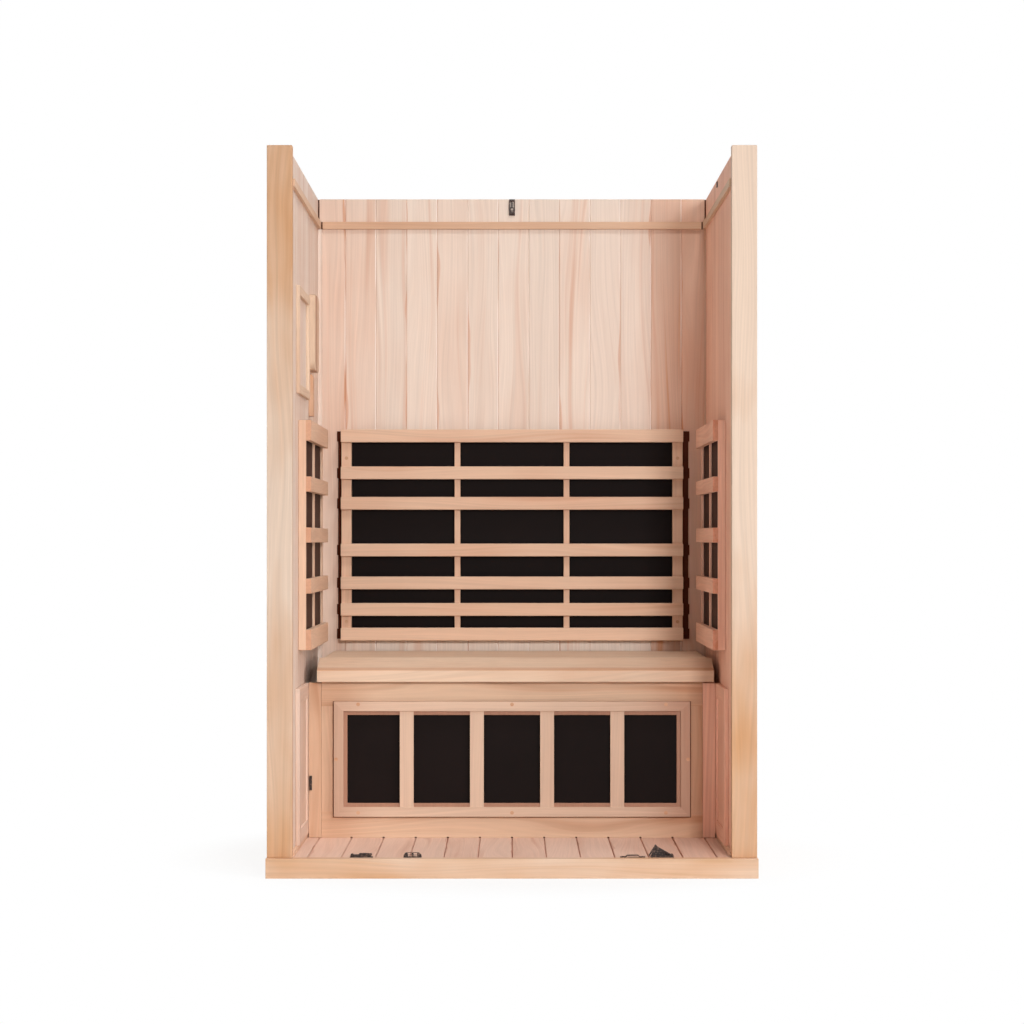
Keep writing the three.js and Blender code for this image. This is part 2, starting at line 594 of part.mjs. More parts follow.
// Base of a draw latch: a plate with a window under the lever, low sides and two pierced ears.
// The pivot is over the local origin, and the lever runs along +X.
function latchBase(lever) {
  const half = LATCH_WIDTH / 2;
  const plate = block([-LATCH_TAIL, lever + LATCH_TAIL], [-half, half], [0, LATCH_PLATE]);
  const sides = [half - LATCH_EAR, -half].map((y) =>
    block([0, lever - LATCH_EAR_RADIUS], [y, y + LATCH_EAR], [0, LATCH_RAIL_HEIGHT]),
  );
  const window = block(
    [LATCH_WINDOW_START, lever + CUT_PAST],
    [LATCH_RAIL - half, half - LATCH_RAIL],
    [-CUT_PAST, LATCH_PLATE + CUT_PAST],
  );
  const shape = new THREE.Shape();
  shape.moveTo(-LATCH_EAR_RADIUS, 0);
  shape.lineTo(LATCH_EAR_RADIUS, 0);
  shape.absarc(0, LATCH_PIVOT_HEIGHT, LATCH_EAR_RADIUS, 0, Math.PI);
  const ears = [half - LATCH_EAR, -half].map((y) =>
    prism(shape, LATCH_EAR, [0, y + LATCH_EAR, 0], X, Z),
  );
  const bore = pinAlongY(LATCH_HOLE_RADIUS, LATCH_WIDTH + 2 * CUT_PAST, 0, LATCH_PIVOT_HEIGHT);
  return cut(join([plate, ...sides, ...ears]), [bore, window]);
}

// Lever of a draw latch about its pivot: a hub with its pin, two legs that meet half way, a deep bar from
// there on and a pierced tip for the loop.
function latchLever(lever) {
  const inside = LATCH_WIDTH - 2 * LATCH_EAR - 2 * FIT;
  const thick = LATCH_LEVER_THICKNESS / 2;
  const meet = lever / 2;
  const fork = [inside / 2 - LATCH_FORK, -inside / 2].map((y) =>
    block([0, meet], [y, y + LATCH_FORK], [-thick, thick]),
  );
  const bridge = block([meet - LATCH_FORK, meet], [-inside / 2, inside / 2], [-thick, thick]);
  const barSide = [
    [meet - LATCH_FORK, thick],
    [meet - LATCH_FORK, -LATCH_BAR_DEPTH],
    [lever, -LATCH_TIP_DEPTH],
    [lever, thick],
  ];
  const bar = prism(barSide, LATCH_BAR, [0, LATCH_BAR / 2, 0], X, Z);
  const hub = pinAlongY(LATCH_HUB_RADIUS, inside, 0, 0);
  const pin = pinAlongY(LATCH_PIN_RADIUS, LATCH_WIDTH, 0, 0);
  const tip = pinAlongY(LATCH_HUB_RADIUS, inside, lever, 0);
  const bore = pinAlongY(LATCH_WIRE / 2 + FIT, LATCH_WIDTH + 2 * CUT_PAST, lever, 0);
  return cut(join([...fork, bridge, bar, hub, pin, tip]), [bore]);
}

// Wire loop of a draw latch about its pivot: two arms, flattened near the lever, the bar in the lever's tip
// and the bar that hooks.
function latchLoop() {
  const half = LATCH_WIDTH / 2;
  const arms = [half - LATCH_WIRE + FIT, -half - FIT].flatMap((y) => [
    block([-LATCH_WIRE / 2, LATCH_LOOP], [y, y + LATCH_WIRE], [-LATCH_WIRE / 2, LATCH_WIRE / 2]),
    block(
      [-LATCH_CHEEK_DEPTH / 2, LATCH_CHEEK],
      [y, y + LATCH_WIRE],
      [-LATCH_CHEEK_DEPTH / 2, LATCH_CHEEK_DEPTH / 2],
    ),
  ]);
  const bars = [0, LATCH_LOOP].map((x) => pinAlongY(LATCH_WIRE / 2, LATCH_WIDTH, x, 0));
  return join([...arms, ...bars]);
}

// A draw latch on a seat: the seat group's +X runs along the plate and its +Z out of the surface.
function buildLatch(seat, name, lever, leverAngle, loopAngle) {
  add(seat, `${name}_base`, latchBase(lever), LATCH_BLACK);
  const arm = new THREE.Group();
  arm.position.z = LATCH_PIVOT_HEIGHT;
  arm.rotation.y = -THREE.MathUtils.degToRad(leverAngle);
  add(arm, `${name}_lever`, latchLever(lever), LATCH_BLACK);
  const link = new THREE.Group();
  link.position.x = lever;
  link.rotation.y = -THREE.MathUtils.degToRad(loopAngle);
  add(link, `${name}_loop`, latchLoop(), LATCH_BLACK);
  arm.add(link);
  seat.add(arm);
  cabin.add(seat);
}

function buildLatches() {
  const left = new THREE.Group();
  left.position.set(-latchX, latchY, base);
  buildLatch(left, "floor_latch_left", LATCH_LEVER, CLOSED_LEVER, FOLDED_LOOP);
  const right = new THREE.Group();
  right.position.set(latchX, latchY, base);
  right.rotation.z = Math.PI;
  buildLatch(right, "floor_latch_right", LATCH_LEVER, RAISED_LEVER, HANGING_LOOP);
  const back = new THREE.Group();
  const foot = wallTop - BACK_LATCH_LEVER - LATCH_TAIL;
  back.applyMatrix4(new THREE.Matrix4().makeBasis(Z, X.clone().negate(), Y.clone().negate()));
  back.position.set(0, backIn - FIT, foot);
  buildLatch(back, "back_latch", BACK_LATCH_LEVER, CLOSED_LEVER, FOLDED_LOOP);
}

// Upright keeper with cut corners and two windows that a rod crosses, on a flat foot.
function leftKeeper() {
  const half = KEEPER_LEFT_WIDTH / 2;
  const shoulder = KEEPER_LEFT_HEIGHT - KEEPER_LEFT_CHAMFER;
  const outline = [
    [-half, 0],
    [half, 0],
    [half, shoulder],
    [half - KEEPER_LEFT_CHAMFER, KEEPER_LEFT_HEIGHT],
    [KEEPER_LEFT_CHAMFER - half, KEEPER_LEFT_HEIGHT],
    [-half, shoulder],
  ];
  const front = latchY - LATCH_WIDTH / 2;
  const plate = prism(outline, LATCH_PLATE, [0, front + LATCH_PLATE, 0], X, Z);
  const foot = block([-half, half], [front, front + LATCH_WIDTH], [0, LATCH_PLATE]);
  const windowRise = [LATCH_PLATE, KEEPER_LEFT_HEIGHT - KEEPER_BAR];
  const windows = [-KEEPER_WINDOW_SPACING / 2, KEEPER_WINDOW_SPACING / 2].map((x) =>
    block(
      [x - KEEPER_WINDOW / 2, x + KEEPER_WINDOW / 2],
      [front - CUT_PAST, front + LATCH_PLATE + CUT_PAST],
      windowRise,
    ),
  );
  const rodZ = (windowRise[0] + windowRise[1] - KEEPER_BAR) / 2;
  const rodRun = [KEEPER_BAR - half, half - KEEPER_BAR];
  const rod = block(rodRun, [front, front + KEEPER_BAR], [rodZ, rodZ + KEEPER_BAR]);
  return join([cut(join([plate, foot]), windows), rod]);
}

// Low keeper: a strip bent up into a bridge for the loop.
function rightKeeper() {
  const end = KEEPER_RIGHT_WIDTH / 2;
  const bridge = KEEPER_RIGHT_BRIDGE / 2;
  const ramp = bridge + KEEPER_RIGHT_RISE;
  const half = [
    [end, 0],
    [end, LATCH_PLATE],
    [ramp, LATCH_PLATE],
    [bridge, KEEPER_RIGHT_RISE + LATCH_PLATE],
  ];
  const under = [
    [-ramp, 0],
    [-bridge, KEEPER_RIGHT_RISE],
    [bridge, KEEPER_RIGHT_RISE],
    [ramp, 0],
  ];
  const mirrored = half.map(([x, z]) => [-x, z]).reverse();
  const back = latchY + LATCH_WIDTH / 2;
  return prism([...half, ...mirrored, ...under], LATCH_WIDTH, [0, back, 0], X, Z);
}

function buildKeepers() {
  const left = add(cabin, "floor_keeper_left", leftKeeper(), LATCH_BLACK);
  left.position.set(KEEPER_LEFT_REACH - latchX, 0, base);
  const right = add(cabin, "floor_keeper_right", rightKeeper(), LATCH_BLACK);
  right.position.set(latchX - KEEPER_RIGHT_REACH, 0, base);
}

buildFloor();
for (const [group, side] of [
  [leftSide, "left"],
  [rightSide, "right"],
]) {
  buildSideWall(group, side);
  buildLowPanel(group, side);
  buildSideHeater(group, side);
}
buildBackWall();
buildBench();
buildSkirt();
buildBackHeater();
buildCalfHeater();
buildTrimFrame();
buildVent();
buildSensorCover();
buildLatches();
buildKeepers();

export default cabin;
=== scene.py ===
"""Looks of a two-person infrared sauna cabin: wood finishes, heater panels, black fittings, light and camera."""

import math
from dataclasses import dataclass

import bmesh
import bpy
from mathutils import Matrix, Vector


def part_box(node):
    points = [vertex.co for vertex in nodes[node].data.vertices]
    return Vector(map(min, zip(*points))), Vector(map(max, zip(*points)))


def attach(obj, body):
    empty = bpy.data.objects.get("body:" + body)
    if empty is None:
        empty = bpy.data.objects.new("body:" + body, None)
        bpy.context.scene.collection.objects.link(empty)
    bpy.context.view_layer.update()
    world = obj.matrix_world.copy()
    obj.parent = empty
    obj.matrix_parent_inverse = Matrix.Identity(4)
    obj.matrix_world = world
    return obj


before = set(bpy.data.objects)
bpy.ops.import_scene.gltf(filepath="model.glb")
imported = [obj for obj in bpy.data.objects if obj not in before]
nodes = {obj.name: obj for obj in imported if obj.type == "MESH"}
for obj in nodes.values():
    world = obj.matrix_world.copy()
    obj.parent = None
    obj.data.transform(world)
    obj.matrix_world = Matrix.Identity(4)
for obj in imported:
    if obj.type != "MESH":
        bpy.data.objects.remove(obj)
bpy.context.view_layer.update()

# Camera, set from the photograph's perspective. The picture is 1024 pixels square.
PICTURE = 1024
EYE = Vector((0.0, -7.325, 0.824))
FOCAL_PIXELS = 2795
HORIZON_BELOW_MIDDLE = 28  # pixels from the picture's middle down to the eye's own height
SENSOR = 36.0

# Boards
WALL_BOARD = 0.0852
BACK_JOINT = 0.55  # middle line to the next joint of the back wall, as a share of a board
DECK_BOARD = 0.0836
FIT = 0.0003

# Trim and fixings
CORNER_STRIPS = {"left": 0.012, "right": 0.0055}  # width of each
CORNER_ROUND = 8  # sides of the rounded corner
PLUG_RADIUS = 0.0052
PLUG_CHAMFER = 0.0005
PLUG_PROUD = 0.0004
PLUG_SUNK = 0.002
PLUG_SIDES = 28
CALF_PLUG_OUT = 0.400  # cabin middle to the outer plugs in the calf heater's rails
CALF_PLUG_SIDE = 0.4575  # cabin middle to the plugs in its uprights
CALF_PLUG_RISES = (0.1152, 0.3968)
CALF_RAIL = 0.025
LOW_PANEL_RAIL = 0.038
TRIM_RAIL = 0.022
CALF_BEAD_DEPTH = 0.009
BACK_PLUG_RISES = (0.597, 1.0515)
SLAT_END = 0.5215  # cabin middle to where the side grilles' slats pass over their uprights
VENT_SLOT = 0.150  # front edge of the shaded band along the vent's slot
SCREW_RADIUS = 0.0031
SCREW_HEAD = 0.0009
SCREW_SLOT = 0.0008
KEEPER_SCREW_INSET = 0.0065

# Painted shade in gaps and shadows
PAINTED_SHADOW_SIDES = {"left": 0.0105, "right": 0.0175}  # how far the painted shadow of the back heater reaches beside it
PAINTED_SHADOW_INSET = 0.0035
PAINTED_SHADOW_SLAT = 0.003  # it reaches this much further beside a slat, as a slat's longer shadow does
# Painted shadow line round the calf heater's frame shows this far beside it.
PAINTED_RIM_SHOWS = 0.0028
GROOVE_END = 0.0052


def tone(code):
    """A written colour such as E3C4AE as the linear colour that a shader takes."""
    parts = [int(code[i : i + 2], 16) / 255 for i in (0, 2, 4)]
    linear = [p / 12.92 if p <= 0.04045 else ((p + 0.055) / 1.055) ** 2.4 for p in parts]
    return (*linear, 1.0)


@dataclass(frozen=True)
class Timber:
    """A wood finish: its pale and its warm tone, and how strongly the warm one streaks and clouds it."""

    pale: str
    warm: str
    streaks: float
    clouds: float


@dataclass(frozen=True)
class Boards:
    """Boards side by side: their width, the place of a joint, and how strong the painted highlight and the painted
    shade on a joint's sides are.
    """

    width: float
    shift: float
    light: float = 0.0
    dark: float = 0.0
    reach: float = 0.002


WALL = Timber("EADACE", "CB9B7C", 0.5, 0.5)
# The back wall's warm tone is redder than the wall's: with the warmth on its right boards it paints the red of the
# shade there.
BACK_WALL = Timber("E9DACD", "D29A79", 0.5, 0.5)
# SHADED is a redder copy of the wall's wood for the pieces at the right: painted shade, with the red of light bounced
# there.
SHADED = Timber("FDCFB8", "D48E70", 0.4, 0.4)
STILE = Timber("E3CDBA", "CB9564", 0.35, 1.3)
DECK = Timber("E4C6B5", "C5947D", 0.5, 0.5)
BENCH = Timber("DEC4AC", "C99775", 0.5, 0.7)
SKIRT = Timber("E0C1A6", "C29272", 0.6, 0.7)
CALF = Timber("D8BCA6", "AD826C", 0.25, 0.35)
GRILLE = Timber("E1BFA5", "CB9374", 0.45, 0.8)
ONE_BOARD = Boards(10.0, -5.0)  # wider than any piece, with its joints far away


class Graph:
    """Short ways to add shader nodes to one tree. Each returns the output socket that the next node takes."""

    def __init__(self, tree):
        self.tree = tree

    def node(self, kind, **settings):
        made = self.tree.nodes.new(kind)
        for key, value in settings.items():
            setattr(made, key, value)
        return made

    def put(self, socket, value):
        if isinstance(value, bpy.types.NodeSocket):
            self.tree.links.new(value, socket)
        else:
            socket.default_value = value

    def math(self, operation, *values, clamp=False):
        made = self.node("ShaderNodeMath", operation=operation, use_clamp=clamp)
        for socket, value in zip(made.inputs, values):
            self.put(socket, value)
        return made.outputs[0]

    def combine(self, x, y, z):
        made = self.node("ShaderNodeCombineXYZ")
        for socket, value in zip(made.inputs, (x, y, z)):
            self.put(socket, value)
        return made.outputs[0]

    def separate(self, vector):
        made = self.node("ShaderNodeSeparateXYZ")
        self.put(made.inputs[0], vector)
        return made.outputs[0], made.outputs[1], made.outputs[2]

    def noise(self, vector, scale=1.0, detail=2.0):
        made = self.node("ShaderNodeTexNoise")
        self.put(made.inputs["Vector"], vector)
        self.put(made.inputs["Scale"], scale)
        self.put(made.inputs["Detail"], detail)
        return made.outputs[0]

    def spread(self, value, low, high, to_low=0.0, to_high=1.0):
        made = self.node("ShaderNodeMapRange", interpolation_type="SMOOTHSTEP")
        for socket, setting in zip(made.inputs, (value, low, high, to_low, to_high)):
            self.put(socket, setting)
        return made.outputs[0]

    def choose(self, factor, first, second):
        made = self.node("ShaderNodeMix", data_type="FLOAT")
        for socket, value in zip(made.inputs[:4], (factor, None, first, second)):
            if value is not None:
                self.put(socket, value)
        return made.outputs[0]

    def blend(self, factor, first, second, how="MIX"):
        made = self.node("ShaderNodeMix", data_type="RGBA", blend_type=how)
        self.put(made.inputs[0], factor)
        self.put(made.inputs[6], first)
        self.put(made.inputs[7], second)
        return made.outputs[2]

    def bump(self, height, strength, distance):
        made = self.node("ShaderNodeBump")
        self.put(made.inputs["Strength"], strength)
        self.put(made.inputs["Distance"], distance)
        self.put(made.inputs["Height"], height)
        return made.outputs["Normal"]


def shader_group(name, inputs, outputs):
    """An empty shader group with its sockets. Returns the tree, its input node's sockets and its output node."""
    tree = bpy.data.node_groups.new(name, "ShaderNodeTree")
    for label, kind in inputs:
        tree.interface.new_socket(name=label, in_out="INPUT", socket_type=kind)
    for label, kind in outputs:
        tree.interface.new_socket(name=label, in_out="OUTPUT", socket_type=kind)
    start = tree.nodes.new("NodeGroupInput").outputs
    end = tree.nodes.new("NodeGroupOutput").inputs
    return tree, start, end


def wood_figure():
    """Sawn softwood: each board has its own tint, soft clouds, warm streaks and edges, and fine fibres."""
    number, colour = "NodeSocketFloat", "NodeSocketColor"
    labels = ("Along", "Across", "Depth", "Board Width", "Board Shift", "Seed", "Streaks", "Clouds", "Warmth")
    joint = ("Joint Light", "Joint Dark", "Joint Reach")
    inputs = [(label, number) for label in labels + joint] + [("Pale", colour), ("Warm", colour)]
    outputs = [("Color", colour), ("Roughness", number), ("Height", number)]
    tree, start, end = shader_group("wood_figure", inputs, outputs)
    g = Graph(tree)
    width = start["Board Width"]
    place = g.math("DIVIDE", g.math("SUBTRACT", start["Across"], start["Board Shift"]), width)
    board = g.math("FLOOR", place)
    from_left = g.math("MULTIPLY", g.math("FRACT", place), width)
    from_right = g.math("SUBTRACT", width, from_left)
    key = g.math("ADD", g.math("MULTIPLY", board, 7.13), g.math("MULTIPLY", start["Seed"], 3.71))
    draw = g.node("ShaderNodeTexWhiteNoise", noise_dimensions="1D")
    g.put(draw.inputs["W"], key)
    first, second, third = g.separate(draw.outputs["Color"])
    along = g.math("ADD", start["Along"], g.math("MULTIPLY", first, 9.0))
    across = g.math("ADD", start["Across"], g.math("MULTIPLY", second, 5.0))
    depth = g.math("ADD", start["Depth"], g.math("MULTIPLY", third, 5.0))

    def grain(along_scale, across_scale, spot, detail):
        stretched = g.combine(*(g.math("MULTIPLY", *pair) for pair in (
            (along, along_scale), (spot, across_scale), (depth, across_scale)
        )))
        return g.noise(stretched, 1.0, detail)

    # A slow swell bends the figure into long arches.
    swell = g.noise(g.combine(g.math("MULTIPLY", along, 1.3), g.math("MULTIPLY", across, 9.0), board), 1.0, 1.0)
    reach = g.math("MULTIPLY_ADD", swell, 0.11, across)

    # Warm streaks, stronger on some boards than on others, and clouds.
    streak = g.spread(grain(0.9, 42.0, reach, 3.0), 0.5, 0.76)
    share = g.math("MULTIPLY", g.math("MULTIPLY_ADD", second, 1.1, 0.25), start["Streaks"])
    cloud = g.math("SUBTRACT", grain(3.4, 9.0, across, 2.0), 0.46)
    warm = g.math("MULTIPLY", streak, share)
    warm = g.math("MULTIPLY_ADD", cloud, start["Clouds"], warm)
    warm = g.math("MULTIPLY_ADD", g.math("SUBTRACT", first, 0.4), 0.22, warm)

    # Heartwood that runs in waves along one edge of a board.
    edge = g.choose(g.math("GREATER_THAN", third, 0.45), from_right, from_left)
    wave = g.noise(g.combine(g.math("MULTIPLY", along, 5.0), key, 0.0), 1.0, 1.0)
    wave = g.spread(wave, 0.46, 0.8, 0.0, 0.012)
    heart = g.spread(edge, g.math("MULTIPLY", wave, 0.6), g.math("ADD", wave, 0.0006), 1.0, 0.0)
    warm = g.math("MULTIPLY_ADD", heart, 0.5, warm)
    warm = g.math("ADD", warm, start["Warmth"], clamp=True)

    # Fine fibres and lines of growth
    fibre = grain(9.0, 620.0, across, 2.0)
    line = grain(1.5, 190.0, reach, 4.0)
    light = g.math("MULTIPLY_ADD", line, -0.3, 1.15)
    light = g.math("ADD", light, g.math("MULTIPLY_ADD", fibre, -0.12, 0.06))
    light = g.math("ADD", light, g.math("MULTIPLY_ADD", third, 0.06, -0.03))
    wood = g.blend(warm, start["Pale"], start["Warm"])
    wood = g.blend(1.0, wood, g.combine(light, light, light), "MULTIPLY")

    # One side of a joint has a painted highlight, as if it caught the light, and the other painted shade.
    broken = g.spread(g.noise(g.combine(g.math("MULTIPLY", along, 4.0), key, 3.0), 1.0, 2.0), 0.36, 0.56)
    lit = g.spread(from_right, 0.0018, g.math("MULTIPLY", start["Joint Reach"], 1.7), 1.0, 0.0)
    lit = g.math("MULTIPLY", g.math("MULTIPLY", lit, broken), start["Joint Light"])
    shaded = g.math("MULTIPLY", g.spread(from_left, 0.0004, start["Joint Reach"], 1.0, 0.0), start["Joint Dark"])
    wood = g.blend(lit, wood, tone("FBF1EA"))
    wood = g.blend(shaded, wood, (0.62, 0.40, 0.33, 1.0), "MULTIPLY")
    g.put(end["Color"], wood)
    g.put(end["Roughness"], g.math("MULTIPLY_ADD", fibre, 0.2, 0.46))
    g.put(end["Height"], g.math("MULTIPLY_ADD", fibre, 0.7, g.math("MULTIPLY", line, 0.3)))
    return tree


FIGURE = wood_figure()


def new_material(name):
    made = bpy.data.materials.new(name)
    made.use_nodes = True
    g = Graph(made.node_tree)
    shader = made.node_tree.nodes["Principled BSDF"]
    place = g.node("ShaderNodeTexCoord").outputs["Object"]
    return made, g, shader, place


def wood(name, timber, grain, seed, boards=ONE_BOARD, upright=None, warmth=0.0, slant=0.0):
    """A wood finish. grain names the axes along the grain, across it and into the board, such as ZXY.
    upright is a function of the place that is 1 where members stand up. warmth is a number or such a function.
    slant is how far the grain runs off the board's own line."""
    made, g, shader, place = new_material(name)
    spots = dict(zip("XYZ", g.separate(place)))
    along, across, depth = (spots[axis] for axis in grain)
    if upright is not None:
        stands = upright(g, spots)
        along, across = g.choose(stands, along, across), g.choose(stands, across, along)
    if slant:
        across = g.math("MULTIPLY_ADD", along, slant, across)
    figure = g.node("ShaderNodeGroup", node_tree=FIGURE)
    settings = {
        "Along": along,
        "Across": across,
        "Depth": depth,
        "Board Width": boards.width,
        "Board Shift": boards.shift,
        "Seed": seed,
        "Streaks": timber.streaks,
        "Clouds": timber.clouds,
        "Warmth": warmth(g, spots) if callable(warmth) else warmth,
        "Joint Light": boards.light,
        "Joint Dark": boards.dark,
        "Joint Reach": boards.reach,
        "Pale": tone(timber.pale),
        "Warm": tone(timber.warm),
    }
    for label, value in settings.items():
        g.put(figure.inputs[label], value)
    g.put(shader.inputs["Base Color"], figure.outputs["Color"])
    g.put(shader.inputs["Roughness"], figure.outputs["Roughness"])
    g.put(shader.inputs["Normal"], g.bump(figure.outputs["Height"], 0.25, 0.0006))
    shader.inputs["Specular IOR Level"].default_value = 0.2
    return made


def heater_black():
    """Black heater panel with a faint woven texture."""
    made, g, shader, place = new_material("heater_black")
    weave = g.noise(place, 900.0, 1.0)
    patch = g.noise(place, 6.0, 2.0)
    g.put(shader.inputs["Base Color"], g.blend(patch, tone("150F0E"), tone("1E1716")))
    g.put(shader.inputs["Roughness"], g.math("MULTIPLY_ADD", patch, 0.12, 0.5))
    g.put(shader.inputs["Normal"], g.bump(weave, 0.12, 0.0003))
    shader.inputs["Specular IOR Level"].default_value = 0.05
    return made


def ribbed_black():
    """Heater panel of the side walls: brown-black with fine upright ribs."""
    made, g, shader, place = new_material("ribbed_black")
    _, y, _ = g.separate(place)
    rib = g.math("MULTIPLY_ADD", g.math("SINE", g.math("MULTIPLY", y, 2 * math.pi / 0.018)), 0.5, 0.5)
    patch = g.noise(place, 6.0, 2.0)
    colour = g.blend(rib, tone("2E1F1B"), tone("55382F"))
    g.put(shader.inputs["Base Color"], g.blend(g.math("MULTIPLY", patch, 0.3), colour, tone("2E1F1B")))
    g.put(shader.inputs["Roughness"], g.math("MULTIPLY_ADD", patch, 0.12, 0.5))
    g.put(shader.inputs["Normal"], g.bump(rib, 0.2, 0.0005))
    shader.inputs["Specular IOR Level"].default_value = 0.08
    return made


def latch_black():
    """Black coated steel with brown patches in places, both metal rubbed through and painted highlights."""
    made, g, shader, place = new_material("latch_black")
    rub_and_sheen = g.spread(g.noise(place, 200.0, 3.0), 0.48, 0.72)
    speck = g.noise(place, 1400.0, 2.0)
    g.put(shader.inputs["Base Color"], g.blend(rub_and_sheen, tone("2B201D"), tone("7A5F52")))
    g.put(shader.inputs["Roughness"], g.math("MULTIPLY_ADD", speck, 0.25, 0.3))
    g.put(shader.inputs["Normal"], g.bump(speck, 0.15, 0.0002))
    shader.inputs["Metallic"].default_value = 0.35
    return made


def outside(g, spot, limit):
    """1 where a coordinate is further than the limit from the middle."""
    return g.math("GREATER_THAN", g.math("ABSOLUTE", spot), limit)


def between(g, spot, low, high):
    return g.math("MULTIPLY", g.math("GREATER_THAN", spot, low), g.math("LESS_THAN", spot, high))


def skirt_uprights(g, spots):
    """The skirt's stiles stand between its two rails, beside the window that the calf heater's element fills."""
    low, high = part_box("calf_heater_element")
    beside = outside(g, spots["X"], high.x)
    return g.math("MULTIPLY", beside, between(g, spots["Z"], low.z, high.z))


def mitred(node, axis, rail):
    """A frame along an axis: members stand up where they are nearer an end than an edge, and inside the rails."""
    low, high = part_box(node)
    middle, half = (low + high) / 2, (high - low) / 2

    def stands(g, spots):
        index = "XYZ".index(axis)
        to_end = g.math("SUBTRACT", half[index], g.math("ABSOLUTE", g.math("SUBTRACT", spots[axis], middle[index])))
        to_edge = g.math("SUBTRACT", half.z, g.math("ABSOLUTE", g.math("SUBTRACT", spots["Z"], middle.z)))
        corner = g.math("LESS_THAN", to_end, to_edge)
        inside = g.math("MULTIPLY", g.math("GREATER_THAN", to_end, rail), g.math("GREATER_THAN", to_edge, rail))
        return g.math("MAXIMUM", corner, inside)

    return stands


def grille_strips(g, spots):
    """The side grilles' uprights lie behind their slats."""
    return outside(g, spots["X"], SLAT_END)


def slat_ends(g, spots):
    """End grain of the side grilles' slats is warmer."""
    front = g.math("LESS_THAN", spots["Y"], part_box("left_heater_grille")[0].y + 0.0012)
    return g.math("MULTIPLY", g.math("MULTIPLY", front, 0.7), g.math("SUBTRACT", 1.0, outside(g, spots["X"], SLAT_END)))


def painted_shade_at_ends(g, spots):
    """Long pieces under the bench are warmer towards both ends, and more so at the right one: painted shade towards the
    corners.
    """
    both = g.spread(g.math("ABSOLUTE", spots["X"]), 0.33, 0.47, 0.0, 0.45)
    return g.math("ADD", both, painted_shade_to_right(g, spots))


def painted_shade_to_right(g, spots):
    """Warmer towards the right end: painted shade of the right wall."""
    return g.spread(spots["X"], 0.22, 0.45, 0.0, 0.28)


def calf_warmth(g, spots):
    """The calf heater's frame is warmer towards its ends, which is painted shade, and the sunk bead inside it is
    darker.
    """
    bead = g.math("GREATER_THAN", spots["Y"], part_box("calf_heater_frame")[0].y + CALF_BEAD_DEPTH - 0.0005)
    return g.math("ADD", bead, painted_shade_at_ends(g, spots))


def left_stile_warmth(g, spots):
    """Warmer towards both ends."""
    upper = g.spread(spots["Z"], 1.0, 1.75, 0.0, 0.75)
    return g.math("ADD", upper, g.spread(spots["Z"], 0.75, 0.1, 0.0, 0.65))


def right_stile_warmth(g, spots):
    return g.spread(spots["Z"], 1.0, 0.25, -0.1, 0.65)


def heartwood_and_painted_shade(g, spots):
    """The outermost boards of the back wall are warmer, and the boards before the right ones some: heartwood, and at
    the right also painted shade of the right wall.
    """
    third, fourth, fifth = ((board + BACK_JOINT) * WALL_BOARD for board in (3, 4, 5))
    # Painted shade of the right wall, with heartwood, grows towards the right.
    rising = g.spread(spots["X"], third, fifth, 0.0, 0.28)
    right = g.math("MULTIPLY", g.math("GREATER_THAN", spots["X"], fourth), 0.22)
    last = g.math("MULTIPLY", g.math("GREATER_THAN", spots["X"], fifth), 0.08)
    left = g.math("MULTIPLY", g.math("LESS_THAN", spots["X"], (BACK_JOINT - 5) * WALL_BOARD), 0.25)
    return g.math("ADD", g.math("ADD", rising, right), g.math("ADD", last, left))


def brow_and_right_shade(g, spots):
    """The nosing is warmer along the edge where its top slope ends, and at its right end, where the warmth is painted
    shade.
    """
    low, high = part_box("bench_nosing")
    near = g.spread(spots["Y"], low.y + 0.024, low.y + 0.018, 0.0, 0.5)
    brow = g.math("MULTIPLY", near, g.math("GREATER_THAN", spots["Z"], high.z - 0.0305))
    return g.math("ADD", brow, g.spread(spots["X"], 0.3, 0.47, 0.0, 0.35))


def ease_edges(piece, width):
    """Welds a piece's corners and rounds its edges."""
    weld = piece.modifiers.new("weld", "WELD")
    weld.merge_threshold = 0.00002
    bevel = piece.modifiers.new("eased_edges", "BEVEL")
    bevel.width = width
    bevel.segments = 2
    bevel.limit_method = "ANGLE"
    bevel.angle_limit = math.radians(30)


def dress(name, material, edge):
    piece = nodes[name]
    piece.data.materials.clear()
    piece.data.materials.append(material)
    ease_edges(piece, edge)


def wall_boards(shift):
    return Boards(WALL_BOARD, shift, 0.9, 0.3)


def dress_floor():
    for seed, name in enumerate(("floor_front_rail", "floor_back_rail", "floor_bearer")):
        dress(name, wood(name, STILE, "XZY", 21 + seed, warmth=0.4), 0.0015)
    for seed, name in enumerate(("floor_left_rail", "floor_right_rail")):
        dress(name, wood(name, STILE, "YXZ", 31 + seed), 0.0015)
    deck = wood("deck_boards", DECK, "YXZ", 3, Boards(DECK_BOARD, 0.0, 0.0, 0.9, 0.004), warmth=painted_shade_to_right)
    dress("floor_deck", deck, 0.0004)


